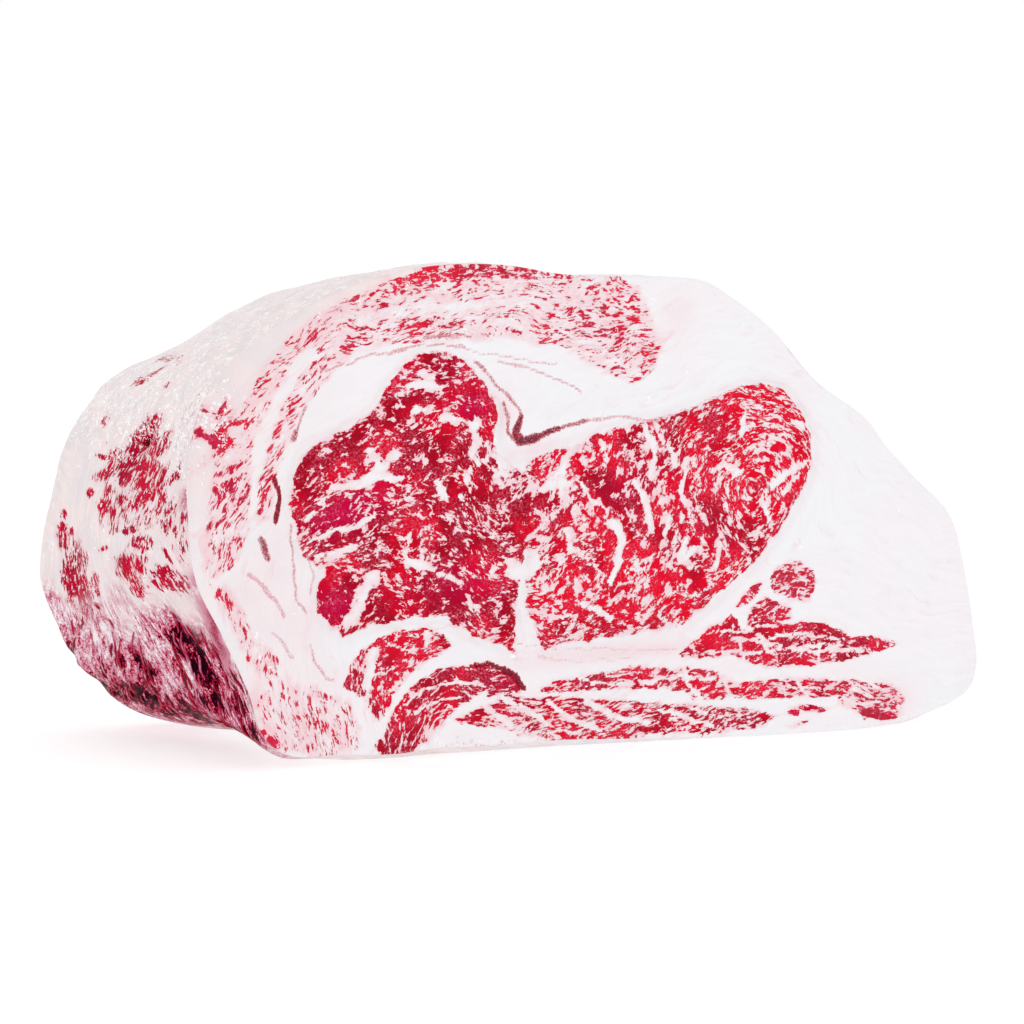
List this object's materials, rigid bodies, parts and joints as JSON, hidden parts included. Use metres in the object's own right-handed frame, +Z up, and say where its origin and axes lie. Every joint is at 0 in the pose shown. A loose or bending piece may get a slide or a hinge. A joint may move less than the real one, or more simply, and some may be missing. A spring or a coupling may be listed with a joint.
{
  "type": "raw ribeye beef block",
  "caption": "Thick raw ribeye block of richly marbled beef, standing on its edge, with a flat cut face, white outer fat and a torn, glistening left flank.",
  "frame": {"origin": "bottom centre of the block's box, on the surface it stands on", "axes": "+X to the right along the cut face, +Y into the block away from the front cut, +Z up"},
  "size_m": [0.3358, 0.135, 0.1776],
  "materials": {
    "meat": "moist raw beef, crimson lean with dense white marbling and pale pinkish fat, wet highlights"
  },
  "bodies": {
    "root": {"ribeye_block": "meat"}
  },
  "joints": []
}
